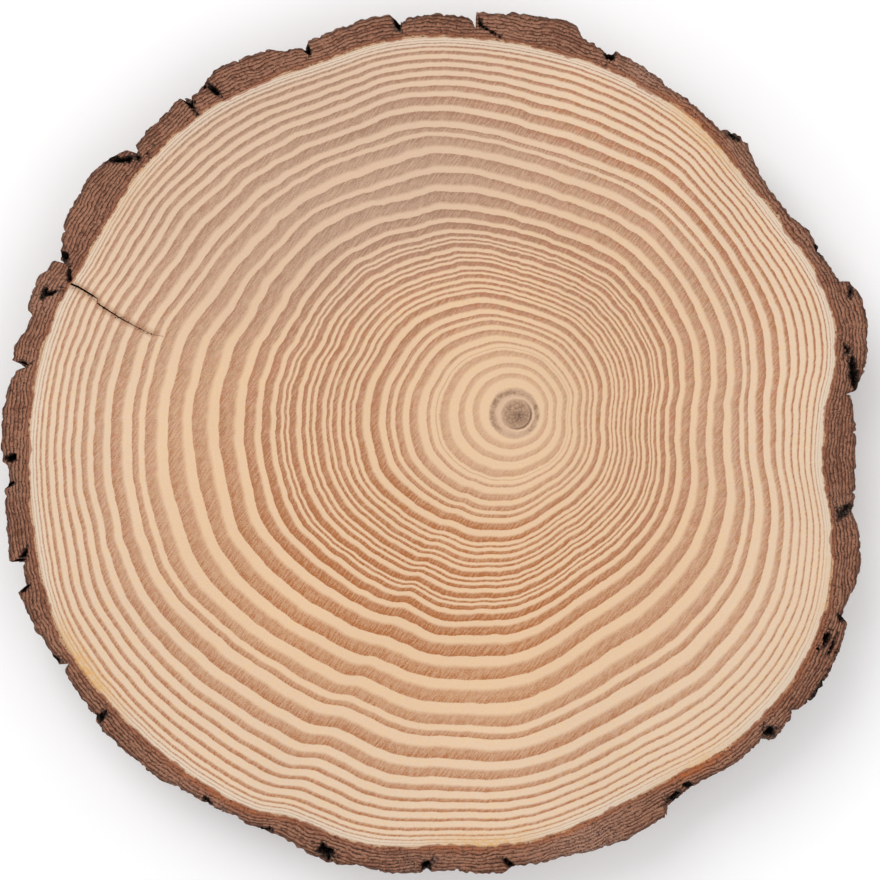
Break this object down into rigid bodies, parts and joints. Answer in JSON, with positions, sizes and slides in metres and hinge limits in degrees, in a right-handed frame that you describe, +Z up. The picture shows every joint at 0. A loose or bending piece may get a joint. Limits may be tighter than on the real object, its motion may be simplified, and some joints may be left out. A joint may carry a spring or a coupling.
{
  "type": "wood slice",
  "caption": "Round slice sawn straight across a trunk, with off-centre growth rings, a short drying crack and rough bark all round its edge.",
  "frame": {"origin": "middle of the slice's outline, on the sawn underside that it rests on", "axes": "+Z up, through the slice from its underside to its upper sawn face; +X runs from the widest side of the rings towards the narrow side, past the pith"},
  "size_m": [0.24, 0.2384, 0.025],
  "materials": {
    "wood": "sawn, unsealed, matt",
    "bark": "rough bark, matt"
  },
  "bodies": {
    "root": {"wood_slice": "wood"}
  },
  "joints": []
}
